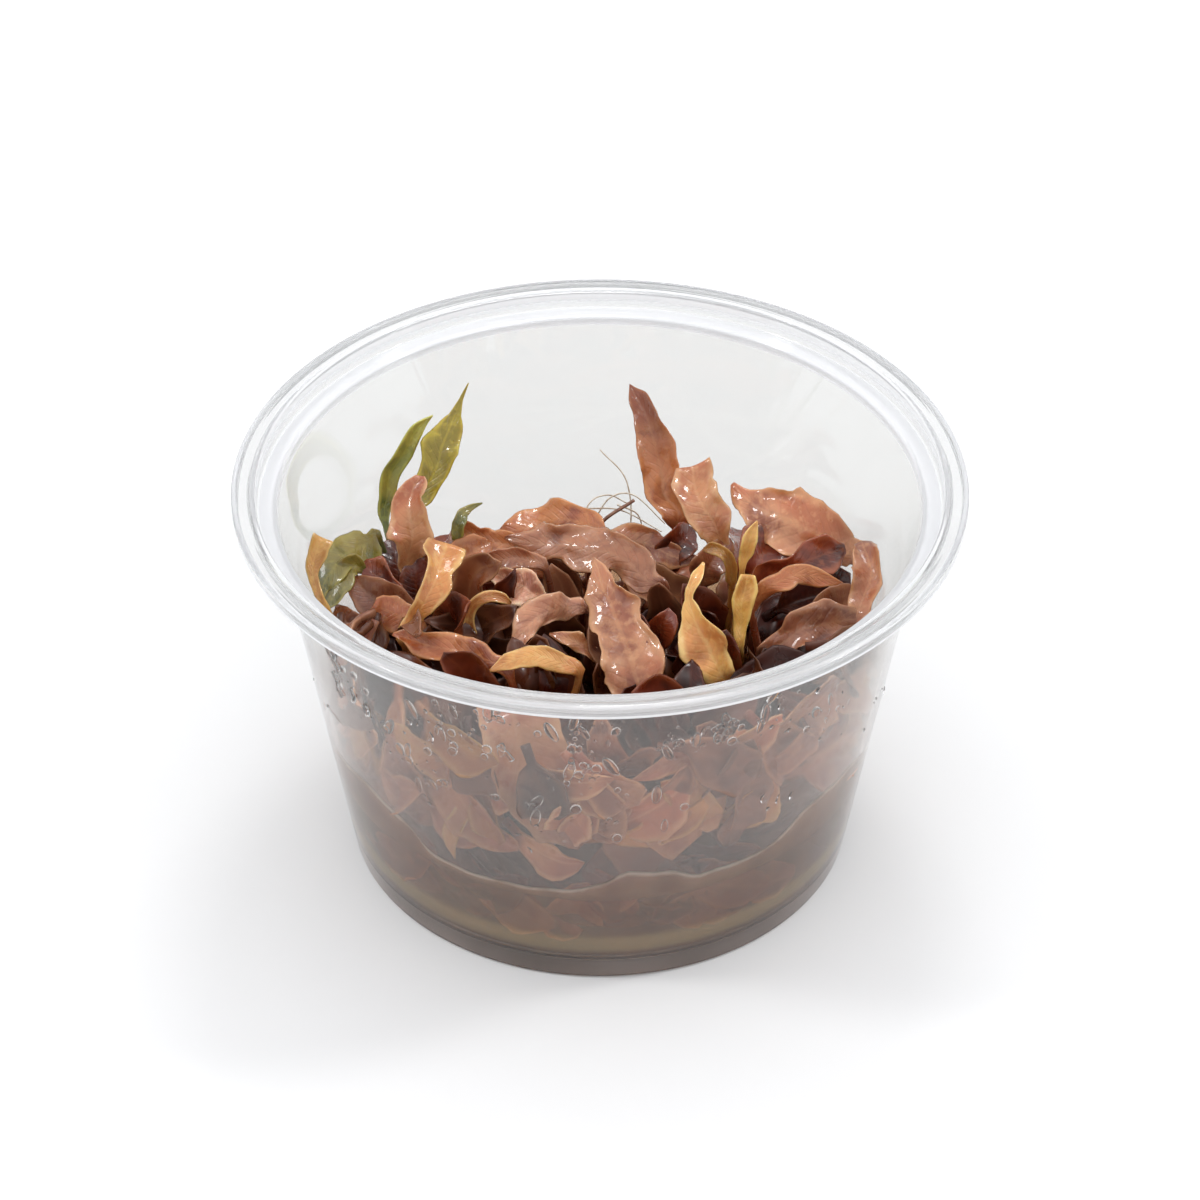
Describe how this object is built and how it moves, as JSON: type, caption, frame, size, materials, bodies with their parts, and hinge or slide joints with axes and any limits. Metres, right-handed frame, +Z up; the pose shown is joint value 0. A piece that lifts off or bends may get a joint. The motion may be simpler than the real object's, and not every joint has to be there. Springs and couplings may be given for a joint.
{
  "type": "potted cryptocoryne",
  "caption": "Clear round plastic cup with a layer of nutrient gel and a dense tangle of small pink-brown and green cryptocoryne leaves growing in it.",
  "frame": {"origin": "centre of the underside of the cup's foot ring", "axes": "+Z up along the cup's axis, -Y towards the front of the plant as pictured, +X to its right"},
  "size_m": [0.101, 0.101, 0.06],
  "materials": {
    "clear_plastic": "clear and slightly hazy",
    "gel": "wet and clear brown",
    "crown": "damp",
    "root": "damp",
    "leaf_green": "wet leaf",
    "leaf_yellow_green": "wet leaf",
    "leaf_pink": "wet leaf",
    "leaf_tan": "wet leaf",
    "leaf_ochre": "wet leaf",
    "leaf_orange": "wet leaf",
    "leaf_brown": "wet leaf",
    "leaf_mauve": "wet leaf",
    "leaf_dark": "wet leaf"
  },
  "bodies": {
    "root": {"cup": "clear_plastic", "gel": "gel", "crown_left": "crown", "crown_middle": "crown", "crown_right": "crown", "crown_front_left": "crown", "crown_front_right": "crown", "root_fine_left": "root", "root_fine_right": "root", "root_high": "root", "root_brown": "root", "green_sickle_leaf": "leaf_green", "ragged_green_leaf": "leaf_green", "dark_tip_leaf": "leaf_green", "yellow_green_leaf": "leaf_yellow_green", "yellow_leaf": "leaf_yellow_green", "olive_arc_leaf": "leaf_yellow_green", "folded_pink_leaf": "leaf_pink", "light_pink_leaf": "leaf_pink", "pale_wedge_leaf": "leaf_pink", "light_pink_wall_leaf": "leaf_pink", "curled_pink_leaf": "leaf_pink", "wavy_pink_leaf": "leaf_pink", "peach_leaf": "leaf_tan", "peach_patch_leaf": "leaf_tan", "hooked_tan_leaf": "leaf_tan", "tan_arc_leaf": "leaf_tan", "twisted_tan_leaf": "leaf_tan", "tan_wall_leaf": "leaf_tan", "tan_right_wall_leaf": "leaf_tan", "ochre_leaf": "leaf_ochre", "ochre_spoon_leaf": "leaf_ochre", "yellow_strip_leaf": "leaf_ochre", "yellow_tip_leaf": "leaf_ochre", "orange_brown_leaf": "leaf_orange", "orange_back_leaf": "leaf_orange", "orange_arc_leaf": "leaf_orange", "orange_wall_leaf": "leaf_orange", "tall_brown_leaf": "leaf_brown", "big_curling_leaf": "leaf_brown", "right_wall_leaf": "leaf_brown", "pink_brown_leaf": "leaf_brown", "front_left_rim_leaf": "leaf_brown", "front_centre_leaf": "leaf_brown", "arched_leaf": "leaf_brown", "tan_pink_leaf": "leaf_brown", "mauve_leaf": "leaf_mauve", "grey_pink_leaf": "leaf_mauve", "grey_band_leaf": "leaf_mauve", "dark_mauve_leaf": "leaf_mauve", "mauve_wall_leaf": "leaf_mauve", "centre_wall_leaf": "leaf_mauve", "dark_red_left_leaf": "leaf_dark", "ribbed_dark_leaf": "leaf_dark", "left_wall_leaf": "leaf_dark", "low_front_leaf": "leaf_dark", "back_left_leaf": "leaf_dark", "back_middle_leaf": "leaf_dark", "back_right_leaf": "leaf_dark", "back_low_leaf": "leaf_dark"}
  },
  "joints": []
}
